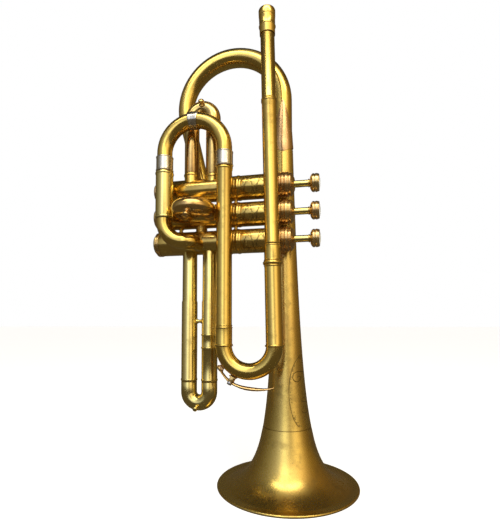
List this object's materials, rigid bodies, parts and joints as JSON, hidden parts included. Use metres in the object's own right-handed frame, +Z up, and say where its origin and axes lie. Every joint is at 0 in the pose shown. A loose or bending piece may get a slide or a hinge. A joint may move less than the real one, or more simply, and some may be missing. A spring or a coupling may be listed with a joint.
{
  "type": "cornet",
  "caption": "Old piston-valve cornet with a stacked valve cluster, curled mouthpipe, main tuning slide, valve slides and a flared bell, standing on the bell rim.",
  "frame": {"origin": "centre of the footprint, on the surface the bell's rim rests on", "axes": "+Z up along the bell's axis from the rim to the bows; +X towards the finger buttons; -Y towards the mouthpipe"},
  "size_m": [0.1709, 0.1211, 0.3845],
  "materials": {
    "aged_brass": "lacquered and aged",
    "bell_brass": "satin, tarnished",
    "copper_brass": "red patina",
    "nickel_silver": "polished",
    "spring_steel": "bright",
    "pearl": "pearly",
    "cork": "natural"
  },
  "bodies": {
    "instrument": {"valve_casing_1": "aged_brass", "top_cap_1": "copper_brass", "bottom_cap_1": "copper_brass", "valve_spring_1": "spring_steel", "valve_casing_2": "aged_brass", "top_cap_2": "copper_brass", "bottom_cap_2": "copper_brass", "valve_spring_2": "spring_steel", "valve_casing_3": "aged_brass", "top_cap_3": "copper_brass", "bottom_cap_3": "copper_brass", "valve_spring_3": "spring_steel", "bell_flare": "bell_brass", "bell_stem": "bell_brass", "bell_bow": "aged_brass", "bell_bow_ferrule": "copper_brass", "mouthpiece_receiver": "nickel_silver", "mouthpipe": "aged_brass", "lower_mouthpipe": "aged_brass", "front_bow": "aged_brass", "front_bow_leg": "aged_brass", "tuning_slide_receiver": "aged_brass", "third_valve_inlet": "aged_brass", "first_slide_receiver_left": "aged_brass", "first_slide_receiver_right": "aged_brass", "second_slide_receiver_left": "aged_brass", "second_slide_receiver_right": "aged_brass", "third_slide_receiver_left": "aged_brass", "third_slide_receiver_right": "aged_brass", "third_slide_brace": "aged_brass", "water_key_saddle": "copper_brass", "water_key_pin": "spring_steel", "bell_brace": "aged_brass", "mouthpipe_brace": "aged_brass", "windway_12": "aged_brass", "windway_23": "aged_brass", "valve_post_12": "aged_brass", "valve_post_23": "aged_brass", "valve_post_rear_23": "aged_brass"},
    "valve_1": {"piston_1": "nickel_silver", "finger_button_1": "copper_brass", "button_pearl_1": "pearl"},
    "valve_2": {"piston_2": "nickel_silver", "finger_button_2": "copper_brass", "button_pearl_2": "pearl"},
    "valve_3": {"piston_3": "nickel_silver", "finger_button_3": "copper_brass", "button_pearl_3": "pearl"},
    "tuning_slide": {"tuning_slide_bow": "aged_brass", "tuning_slide_leg_left": "nickel_silver", "tuning_slide_leg_right": "nickel_silver", "tuning_slide_ferrule_left": "nickel_silver", "tuning_slide_ferrule_right": "nickel_silver", "tuning_slide_band": "nickel_silver"},
    "first_slide": {"first_slide_crook": "copper_brass"},
    "second_slide": {"second_slide_crook": "copper_brass"},
    "third_slide": {"third_slide_crook": "copper_brass"},
    "water_key": {"water_key_lever": "copper_brass", "water_key_cork": "cork"}
  },
  "joints": [
    {"name": "valve_1_press", "type": "slide", "parent": "instrument", "child": "valve_1", "axis": [-1, 0, 0], "range_m": [0, 0.011], "stiffness_N_per_m": 120, "springref_m": -0.02, "deforming": ["valve_spring_1"]},
    {"name": "valve_2_press", "type": "slide", "parent": "instrument", "child": "valve_2", "axis": [-1, 0, 0], "range_m": [0, 0.011], "stiffness_N_per_m": 120, "springref_m": -0.02, "deforming": ["valve_spring_2"]},
    {"name": "valve_3_press", "type": "slide", "parent": "instrument", "child": "valve_3", "axis": [-1, 0, 0], "range_m": [0, 0.011], "stiffness_N_per_m": 120, "springref_m": -0.02, "deforming": ["valve_spring_3"]},
    {"name": "tuning_slide_pull", "type": "slide", "parent": "instrument", "child": "tuning_slide", "axis": [0, 0, 1], "range_m": [0, 0.012]},
    {"name": "first_slide_pull", "type": "slide", "parent": "instrument", "child": "first_slide", "axis": [0, 0, 1], "range_m": [0, 0.0035]},
    {"name": "second_slide_pull", "type": "slide", "parent": "instrument", "child": "second_slide", "axis": [0, -1, 0], "range_m": [0, 0.006]},
    {"name": "third_slide_pull", "type": "slide", "parent": "instrument", "child": "third_slide", "axis": [0, 0, -1], "range_m": [0, 0.03]},
    {"name": "water_key_open", "type": "hinge", "parent": "instrument", "child": "water_key", "pos_m": [-0.01234, -0.0386, 0.08947], "axis": [0, -1, 0], "range_deg": [0, 10], "stiffness_Nm_per_rad": 0.05, "springref_deg": -20.05}
  ]
}
